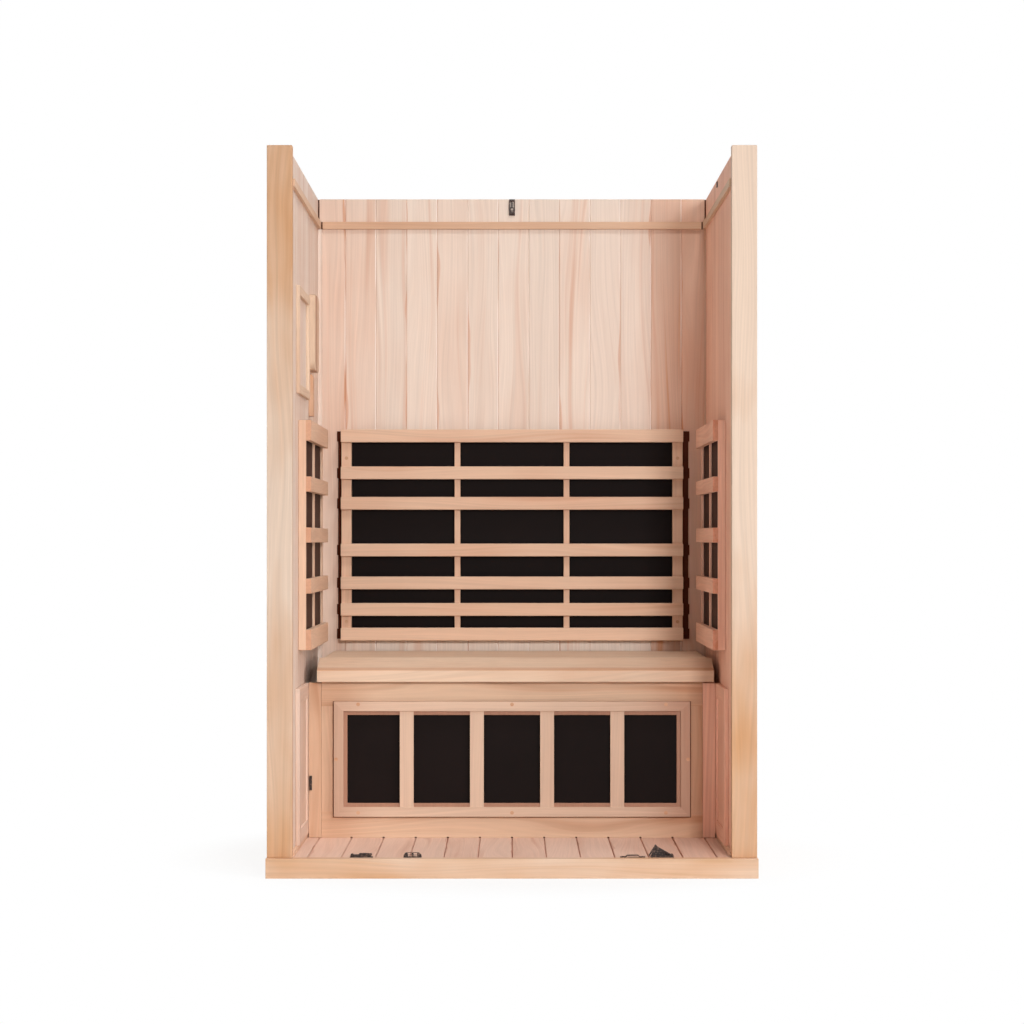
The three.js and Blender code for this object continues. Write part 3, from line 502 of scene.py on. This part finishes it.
def dress_walls():
    back = wood("back_boards", BACK_WALL, "ZXY", 5, wall_boards(BACK_JOINT * WALL_BOARD), warmth=heartwood_and_painted_shade)
    dress("back_inner_boards", back, 0.0004)
    dress("back_outer_boards", wood("back_outer", WALL, "ZXY", 6, wall_boards(-BACK_JOINT * WALL_BOARD)), 0.0004)
    dress("back_wall_core", wood("back_core", GRILLE, "XYZ", 7), 0.0005)
    dress("back_roof_batten", wood("back_batten", SKIRT, "XZY", 8, warmth=0.45), 0.001)
    stile_warmth = {"left": left_stile_warmth, "right": right_stile_warmth}
    inner_wood = {"left": WALL, "right": SHADED}
    for seed, side in enumerate(("left", "right")):
        inner = wood(f"{side}_inner", inner_wood[side], "ZYX", 11 + seed, wall_boards(0.0), warmth=0.05)
        outer = wood(f"{side}_outer", WALL, "ZYX", 13 + seed, wall_boards(0.0))
        dress(f"{side}_inner_boards", inner, 0.0004)
        dress(f"{side}_outer_boards", outer, 0.0004)
        dress(f"{side}_wall_core", wood(f"{side}_core", GRILLE, "YXZ", 15 + seed), 0.0005)
        dress(f"{side}_roof_batten", wood(f"{side}_batten", SKIRT, "YZX", 17 + seed), 0.001)
        stile = wood(f"{side}_stile", STILE, "ZXY", 42 + seed, warmth=stile_warmth[side])
        dress(f"{side}_front_stile", stile, 0.0015)


def dress_bench():
    dress("bench_seat", wood("seat", BENCH, "XYZ", 51), 0.002)
    dress("bench_nosing", wood("nosing", BENCH, "XZY", 52, warmth=brow_and_right_shade, slant=-0.07), 0.0015)
    dress("bench_back_cleat", wood("cleat", BENCH, "XZY", 53), 0.001)
    dress("skirt_frame", wood("skirt", SKIRT, "XZY", 54, upright=skirt_uprights, warmth=painted_shade_at_ends), 0.0006)
    sides = (("left", SKIRT, 0.4, WALL, 0.25), ("right", SHADED, 0.0, SHADED, 0.08))
    for seed, (side, post_timber, post_warmth, timber, warmth) in enumerate(sides):
        post = wood(f"{side}_post", post_timber, "ZXY", 55 + seed, warmth=post_warmth)
        dress(f"{side}_end_post", post, 0.0015)
        stands = mitred(f"{side}_low_panel", "Y", LOW_PANEL_RAIL)
        panel = wood(f"{side}_low_panel", timber, "YZX", 57 + seed, upright=stands, warmth=warmth)
        dress(f"{side}_low_panel", panel, 0.001)


def dress_heaters():
    black, ribbed = heater_black(), ribbed_black()
    for name, finish in (("back", black), ("calf", black), ("left", ribbed), ("right", ribbed)):
        dress(f"{name}_heater_element", finish, 0.0005)
    for seed in range(1, 8):
        dress(f"back_heater_slat_{seed}", wood(f"slat_{seed}", GRILLE, "XZY", 60 + seed), 0.002)
    for seed, name in enumerate(("left_stile", "left_muntin", "right_muntin", "right_stile")):
        dress(f"back_heater_{name}", wood(f"back_{name}", GRILLE, "ZXY", 70 + seed), 0.001)
    for seed, (side, timber) in enumerate((("left", GRILLE), ("right", SHADED))):
        grille = wood(f"{side}_grille", timber, "YZX", 75 + seed, upright=grille_strips, warmth=slat_ends)
        dress(f"{side}_heater_grille", grille, 0.0015)
    stands = mitred("calf_heater_frame", "X", CALF_RAIL)
    dress("calf_heater_frame", wood("calf_frame", CALF, "XZY", 78, upright=stands, warmth=calf_warmth), 0.001)


def dress_fittings():
    stands = mitred("left_trim_frame", "Y", TRIM_RAIL)
    dress("left_trim_frame", wood("trim_frame", BENCH, "YZX", 81, upright=stands), 0.001)
    # Painted shade: a dark band along the vent's slot.
    slot = Boards(ONE_BOARD.width, VENT_SLOT, 0.0, 1.0, 0.055)
    dress("left_vent_block", wood("vent", BENCH, "ZYX", 82, slot), 0.002)
    dress("left_sensor_cover", wood("sensor", BENCH, "ZYX", 83, warmth=0.5), 0.001)
    black = latch_black()
    for name in nodes:
        if "_latch_" in name or "_keeper_" in name:
            dress(name, black, 0.0003)
    return black


def piece_from(name, mesh, material):
    """A finished piece at the origin that moves with the cabin."""
    mesh.materials.clear()
    mesh.materials.append(material)
    piece = bpy.data.objects.new(name, mesh)
    bpy.context.scene.collection.objects.link(piece)
    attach(piece, "cabin")
    return piece


def extrusion(name, outline, low, high, upright=False):
    """A closed prism: an outline in X and Y from one height to another, or an upright one in X and Z along Y."""
    work = bmesh.new()
    spots = [[(x, far, y) if upright else (x, y, far) for x, y in outline] for far in (low, high)]
    foot, head = ([work.verts.new(spot) for spot in ring] for ring in spots)
    work.faces.new(foot)
    work.faces.new(head)
    for i, corner in enumerate(foot):
        following = (i + 1) % len(foot)
        work.faces.new((corner, foot[following], head[following], head[i]))
    bmesh.ops.recalc_face_normals(work, faces=work.faces)
    mesh = bpy.data.meshes.new(name)
    work.to_mesh(mesh)
    work.free()
    return mesh


def corner_strip(side, width, warmth):
    """Rounded strip that covers the gap between the back wall and a side wall."""
    name = f"{side}_corner_strip"
    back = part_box("back_inner_boards")[0].y - FIT
    low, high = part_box(f"{side}_inner_boards")
    wall, inward = (high.x + FIT, 1) if side == "left" else (low.x - FIT, -1)
    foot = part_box("back_inner_boards")[0].z
    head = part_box("back_roof_batten")[0].z - FIT
    arc = [math.radians(90 * i / CORNER_ROUND) for i in range(CORNER_ROUND + 1)]
    curve = [(wall + inward * width * math.cos(a), back - width * math.sin(a)) for a in arc]
    mesh = extrusion(name, [(wall, back), *curve], foot, head)
    piece_from(name, mesh, wood(name, WALL, "ZXY", 91, warmth=warmth))


def strikes(black):
    """Small bent plates on the left end post and at the top of the right wall that latch hooks catch."""
    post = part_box("left_end_post")[0]
    face = post.y - FIT
    outline = [
        (post.x + 0.0022, face),
        (post.x + 0.0022, face - 0.0060),
        (post.x + 0.0038, face - 0.0060),
        (post.x + 0.0038, face - 0.0016),
        (post.x + 0.0087, face - 0.0016),
        (post.x + 0.0087, face),
    ]
    low = piece_from("left_low_strike", extrusion("left_low_strike", outline, 0.172, 0.210), black)
    ease_edges(low, 0.0003)
    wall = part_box("right_inner_boards")[0].x - FIT
    outline = [
        (wall, 0.020),
        (wall, 0.044),
        (wall - 0.0012, 0.044),
        (wall - 0.0012, 0.034),
        (wall - 0.0025, 0.034),
        (wall - 0.0025, 0.030),
        (wall - 0.0012, 0.030),
        (wall - 0.0012, 0.020),
    ]
    top = piece_from("right_top_strike", extrusion("right_top_strike", outline, 1.752, 1.767), black)
    ease_edges(top, 0.0003)


def latch_cheek(black):
    """Upright cheek behind the right floor latch, which shows through its open lever and loop."""
    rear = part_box("floor_latch_right_loop")[1].y + FIT
    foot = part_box("floor_latch_right_base")[0].z
    outline = [(0.338, foot), (0.3515, 0.0720), (0.3615, 0.0695), (0.381, 0.0565), (0.3945, foot)]
    mesh = extrusion("right_latch_cheek", outline, rear, rear + 0.0012, upright=True)
    ease_edges(piece_from("right_latch_cheek", mesh, black), 0.0003)


def painted_shade_brown():
    """Painted shade: deep brown for gaps and shadows that no light reaches."""
    made, g, shader, place = new_material("painted_shade_brown")
    g.put(shader.inputs["Base Color"], g.blend(g.noise(place, 300.0, 2.0), tone("4A281D"), tone("5E3324")))
    shader.inputs["Roughness"].default_value = 0.9
    shader.inputs["Specular IOR Level"].default_value = 0.05
    return made


def boxes(name, spans):
    """One mesh of closed boxes, each given by its spans in X, Y and Z."""
    work = bmesh.new()
    for across, deep, tall in spans:
        made = bmesh.ops.create_cube(work, size=1.0)["verts"]
        for corner in made:
            parts = zip(corner.co, (across, deep, tall))
            corner.co = [low + (part + 0.5) * (high - low) for part, (low, high) in parts]
    mesh = bpy.data.meshes.new(name)
    work.to_mesh(mesh)
    work.free()
    return mesh


def painted_shade_gaps(brown):
    """Painted shade: dark pieces for the shadow of the back heater, the shadow line round the calf heater's frame, the
    gaps in the back corners, the gaps at the back batten's ends and the ends of the deck's grooves under the skirt."""
    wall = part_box("back_inner_boards")[0]
    side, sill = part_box("left_inner_boards")[1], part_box("left_inner_boards")[0]
    batten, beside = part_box("back_roof_batten"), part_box("left_roof_batten")[1]
    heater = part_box("back_heater_left_stile")[0]
    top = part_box("back_heater_slat_7")[1].z
    slats = [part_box(f"back_heater_slat_{i}") for i in range(1, 8)]
    behind = (wall.y - 0.0030, wall.y - FIT)
    # Painted shadow of the back heater on the wall at its two sides: a dark brown sheet behind it, wider beside each
    # slat.
    shadow_spans = []
    for sign, name in ((-1, "left"), (1, "right")):
        edge = -heater.x + PAINTED_SHADOW_SIDES[name]
        spans = [(0.4595, edge, heater.z + PAINTED_SHADOW_INSET, top - PAINTED_SHADOW_INSET)]
        spans += [(edge, edge + PAINTED_SHADOW_SLAT, low.z + PAINTED_SHADOW_INSET, high.z - PAINTED_SHADOW_INSET) for low, high in slats]
        shadow_spans += [(sorted((sign * near, sign * far)), behind, (low, high)) for near, far, low, high in spans]
    piece_from("heater_painted_shadow", boxes("heater_painted_shadow", shadow_spans), brown)

    # Painted shadow line at the left, right and bottom of the calf heater's frame: a dark sheet behind its edges.
    low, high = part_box("calf_heater_frame")
    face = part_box("skirt_frame")[0].y
    ring = ((low.x - PAINTED_RIM_SHOWS, high.x + PAINTED_RIM_SHOWS), (face - 0.00025, face - 0.00005))
    rim_spans = [(*ring, (low.z - PAINTED_RIM_SHOWS, low.z + PAINTED_RIM_SHOWS))]
    for edge in (low.x, high.x):
        rim_spans.append(((edge - PAINTED_RIM_SHOWS, edge + PAINTED_RIM_SHOWS), ring[1], (low.z + PAINTED_RIM_SHOWS, high.z)))
    piece_from("calf_painted_shadow_rim", boxes("calf_painted_shadow_rim", rim_spans), brown)

    # Painted shade in the gaps of the back corners, at the back batten's ends and at the ends of the deck's grooves:
    # dark pieces put in them.
    gaps = []
    for sign in (-1, 1):
        corner_shade = sorted((sign * -(side.x + FIT), sign * -(wall.x - FIT)))
        slit = sorted((sign * -(beside.x + FIT), sign * -(batten[0].x - FIT)))
        gaps.append((corner_shade, (wall.y + 0.004, wall.y + 0.044), (sill.z, side.z - 0.001)))
        gaps.append((slit, (batten[0].y + 0.003, wall.y - FIT), (batten[0].z, batten[1].z)))
    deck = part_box("floor_deck")[1].z
    for board in range(-5, 6):
        middle = board * DECK_BOARD
        ends = (middle - GROOVE_END / 2, middle + GROOVE_END / 2)
        gaps.append((ends, (face - 0.0009, face - FIT), (deck + FIT, deck + 0.0030)))
    piece_from("painted_shade_gaps", boxes("painted_shade_gaps", gaps), brown)


def geometry_tree(name, numbers):
    """An empty geometry tree with a mesh in and out, a material and named sizes."""
    tree = bpy.data.node_groups.new(name, "GeometryNodeTree")
    tree.interface.new_socket(name="Places", in_out="INPUT", socket_type="NodeSocketGeometry")
    tree.interface.new_socket(name="Finish", in_out="INPUT", socket_type="NodeSocketMaterial")
    for label in numbers:
        tree.interface.new_socket(name=label, in_out="INPUT", socket_type="NodeSocketFloat")
    tree.interface.new_socket(name="Geometry", in_out="OUTPUT", socket_type="NodeSocketGeometry")
    start = tree.nodes.new("NodeGroupInput").outputs
    end = tree.nodes.new("NodeGroupOutput").inputs
    return tree, start, end


def finish_instances(g, start, end, shape, turn):
    """Sets a shape on every place, turned, as one real mesh with its finish."""
    spread = g.node("GeometryNodeInstanceOnPoints")
    g.put(spread.inputs["Points"], start["Places"])
    g.put(spread.inputs["Instance"], shape)
    spread.inputs["Rotation"].default_value = turn
    real = g.node("GeometryNodeRealizeInstances")
    g.put(real.inputs[0], spread.outputs[0])
    painted = g.node("GeometryNodeSetMaterial")
    g.put(painted.inputs["Geometry"], real.outputs[0])
    g.put(painted.inputs["Material"], start["Finish"])
    g.put(end["Geometry"], painted.outputs[0])


def plug_tree():
    """Round chamfered plugs that face the front."""
    tree, start, end = geometry_tree("wood_plugs", ("Radius", "Chamfer", "Height"))
    g = Graph(tree)
    plug = g.node("GeometryNodeMeshCone")
    plug.inputs["Vertices"].default_value = PLUG_SIDES
    g.put(plug.inputs["Radius Bottom"], start["Radius"])
    g.put(plug.inputs["Radius Top"], g.math("SUBTRACT", start["Radius"], start["Chamfer"]))
    g.put(plug.inputs["Depth"], start["Height"])
    finish_instances(g, start, end, plug.outputs["Mesh"], (math.radians(90), 0, 0))
    return tree


def screw_tree():
    """Flat screw heads with a cross cut into them, facing up."""
    tree, start, end = geometry_tree("screws", ("Radius", "Head", "Slot"))
    g = Graph(tree)
    head = g.node("GeometryNodeMeshCone")
    head.inputs["Vertices"].default_value = PLUG_SIDES
    g.put(head.inputs["Radius Bottom"], start["Radius"])
    g.put(head.inputs["Radius Top"], g.math("MULTIPLY", start["Radius"], 0.82))
    g.put(head.inputs["Depth"], start["Head"])
    cut = g.node("GeometryNodeMeshBoolean", operation="DIFFERENCE", solver="EXACT")
    g.put(cut.inputs["Mesh 1"], head.outputs["Mesh"])
    length = g.math("MULTIPLY", start["Radius"], 1.1)
    for sizes in ((length, start["Slot"]), (start["Slot"], length)):
        bar = g.node("GeometryNodeMeshCube")
        g.put(bar.inputs["Size"], g.combine(*sizes, start["Head"]))
        lift = g.node("GeometryNodeTransform")
        g.put(lift.inputs["Geometry"], bar.outputs["Mesh"])
        g.put(lift.inputs["Translation"], g.combine(0.0, 0.0, start["Head"]))
        g.put(cut.inputs["Mesh 2"], lift.outputs["Geometry"])
    finish_instances(g, start, end, cut.outputs["Mesh"], (0, 0, 0))
    return tree


def scatter(name, places, tree, finish, sizes):
    """Runs a geometry tree on a set of places and keeps the result as a plain mesh."""
    mesh = bpy.data.meshes.new(name + "_places")
    mesh.from_pydata(places, [], [])
    source = bpy.data.objects.new(name + "_places", mesh)
    bpy.context.scene.collection.objects.link(source)
    modifier = source.modifiers.new(name, "NODES")
    modifier.node_group = tree
    inputs = {item.name: item.identifier for item in tree.interface.items_tree if item.in_out == "INPUT"}
    modifier[inputs["Finish"]] = finish
    for label, value in sizes.items():
        modifier[inputs[label]] = value
    graph = bpy.context.evaluated_depsgraph_get()
    result = bpy.data.meshes.new_from_object(source.evaluated_get(graph))
    result.name = name
    source.modifiers.clear()
    bpy.data.objects.remove(source)
    return piece_from(name, result, finish)


def wood_plugs():
    """Plugs over the screws of the back heater's outer strips and of the calf heater's frame."""
    places = []
    for side in ("left", "right"):
        low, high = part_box(f"back_heater_{side}_stile")
        places += [((low.x + high.x) / 2, low.y + PLUG_SUNK, rise) for rise in BACK_PLUG_RISES]
    low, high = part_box("calf_heater_frame")
    face, middle = low.y + PLUG_SUNK, (low.z + high.z) / 2
    for rise in CALF_PLUG_RISES:
        places += [(x, face, rise) for x in (-CALF_PLUG_OUT, 0.0, CALF_PLUG_OUT)]
    places += [(x, face, middle) for x in (-CALF_PLUG_SIDE, CALF_PLUG_SIDE)]
    sizes = {"Radius": PLUG_RADIUS, "Chamfer": PLUG_CHAMFER, "Height": PLUG_SUNK + PLUG_PROUD}
    finish = wood("plug_wood", SKIRT, "XYZ", 95, warmth=0.8)
    scatter("wood_plugs", places, plug_tree(), finish, sizes)


def keeper_screws(black):
    """Screws in the two feet of the low keeper."""
    low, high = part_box("floor_keeper_right")
    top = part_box("floor_latch_left_base")[0].z + 0.0016
    ends = (low.x + KEEPER_SCREW_INSET, high.x - KEEPER_SCREW_INSET)
    places = [(x, (low.y + high.y) / 2, top) for x in ends]
    sizes = {"Radius": SCREW_RADIUS, "Head": SCREW_HEAD, "Slot": SCREW_SLOT}
    scatter("keeper_screws", places, screw_tree(), black, sizes)


def pale_floor():
    """Plain pale floor. It fades to the white background away from the cabin and keeps the soft shadow near it."""
    half = 9.0
    mesh = bpy.data.meshes.new("floor")
    mesh.from_pydata([(-half, -half, 0), (half, -half, 0), (half, half, 0), (-half, half, 0)], [], [(0, 1, 2, 3)])
    made = bpy.data.materials.new("pale_floor")
    made.use_nodes = True
    g = Graph(made.node_tree)
    made.node_tree.nodes.clear()
    x, y, _ = g.separate(g.node("ShaderNodeTexCoord").outputs["Object"])
    away = g.math("SQRT", g.math("ADD", g.math("POWER", x, 2.0), g.math("POWER", y, 2.0)))
    fade = g.spread(away, 0.62, 0.95, 0.85, 1.0)
    path = g.node("ShaderNodeLightPath").outputs
    seen = g.math("MAXIMUM", path["Is Camera Ray"], path["Is Glossy Ray"])
    seen = g.math("MAXIMUM", seen, path["Is Transmission Ray"])
    matt = g.node("ShaderNodeBsdfDiffuse")
    matt.inputs["Color"].default_value = tone("F4F3F1")
    white = g.node("ShaderNodeEmission")
    mix = g.node("ShaderNodeMixShader")
    g.put(mix.inputs[0], g.math("MULTIPLY", fade, seen))
    g.put(mix.inputs[1], matt.outputs[0])
    g.put(mix.inputs[2], white.outputs[0])
    g.put(g.node("ShaderNodeOutputMaterial").inputs["Surface"], mix.outputs[0])
    mesh.materials.append(made)
    floor = bpy.data.objects.new("floor", mesh)
    bpy.context.scene.collection.objects.link(floor)


def white_world(strength):
    """Soft light from all round. The camera, gloss and glass see plain white."""
    world = bpy.data.worlds.new("studio")
    bpy.context.scene.world = world
    world.use_nodes = True
    g = Graph(world.node_tree)
    world.node_tree.nodes.clear()
    path = g.node("ShaderNodeLightPath").outputs
    seen = g.math("MAXIMUM", path["Is Camera Ray"], path["Is Glossy Ray"])
    seen = g.math("MAXIMUM", seen, path["Is Transmission Ray"])
    soft = g.node("ShaderNodeBackground")
    soft.inputs["Color"].default_value = (1.0, 0.86, 0.77, 1.0)
    soft.inputs["Strength"].default_value = strength
    white = g.node("ShaderNodeBackground")
    white.inputs["Color"].default_value = (1.0, 1.0, 1.0, 1.0)
    mix = g.node("ShaderNodeMixShader")
    g.put(mix.inputs[0], seen)
    g.put(mix.inputs[1], soft.outputs[0])
    g.put(mix.inputs[2], white.outputs[0])
    g.put(g.node("ShaderNodeOutputWorld").inputs["Surface"], mix.outputs[0])


def soft_lamp(name, place, target, size, level):
    """A panel of light that is as strong far away as near. level is the share of full light on a face turned to it."""
    lamp = bpy.data.lights.new(name, "AREA")
    lamp.shape = "RECTANGLE"
    lamp.size, lamp.size_y = size
    lamp.energy = level * math.pi**2
    lamp.use_nodes = True
    g = Graph(lamp.node_tree)
    even = g.node("ShaderNodeLightFalloff")
    even.inputs["Strength"].default_value = 1.0
    g.put(lamp.node_tree.nodes["Emission"].inputs["Strength"], even.outputs["Constant"])
    made = bpy.data.objects.new(name, lamp)
    made.location = place
    made.rotation_euler = (Vector(target) - Vector(place)).to_track_quat("-Z", "Y").to_euler()
    bpy.context.scene.collection.objects.link(made)


def studio_light():
    white_world(0.31)
    soft_lamp("key", (1.5, -7.6, 2.3), (0.0, 0.3, 0.9), (0.7, 0.7), 0.35)
    soft_lamp("side", (2.4, -1.9, 1.2), (-0.5, 0.0, 0.9), (0.9, 1.2), 0.25)
    soft_lamp("top", (0.8, -1.6, 4.5), (0.0, 0.0, 0.3), (0.6, 0.6), 0.33)
    soft_lamp("fill", (-1.3, -4.4, 1.2), (0.2, 0.3, 0.9), (0.8, 0.8), 0.04)
    soft_lamp("left", (-3.4, 0.4, 0.9), (0.0, 0.4, 0.9), (1.0, 1.0), 0.3)
    for side in (-1, 1):
        soft_lamp("behind", (side * 2.6, 3.6, 0.9), (0.0, 0.5, 0.9), (1.0, 1.0), 0.4)


def photograph_camera():
    lens = bpy.data.cameras.new("camera")
    lens.sensor_width = SENSOR
    lens.lens = FOCAL_PIXELS / PICTURE * SENSOR
    lens.shift_y = HORIZON_BELOW_MIDDLE / PICTURE
    lens.clip_end = 100.0
    camera = bpy.data.objects.new("camera", lens)
    camera.location = EYE
    camera.rotation_euler = (math.radians(90), 0.0, 0.0)
    bpy.context.scene.collection.objects.link(camera)
    bpy.context.scene.camera = camera


photograph_camera()
studio_light()
pale_floor()
dress_floor()
dress_walls()
dress_bench()
dress_heaters()
fitting_black = dress_fittings()
# The right strip is warmer: painted shade of the right back corner.
for side, width in CORNER_STRIPS.items():
    corner_strip(side, width, 0.0 if side == "left" else 0.6)
strikes(fitting_black)
latch_cheek(fitting_black)
painted_shade_gaps(painted_shade_brown())
wood_plugs()
keeper_screws(fitting_black)
bpy.context.scene.view_settings.view_transform = "Standard"
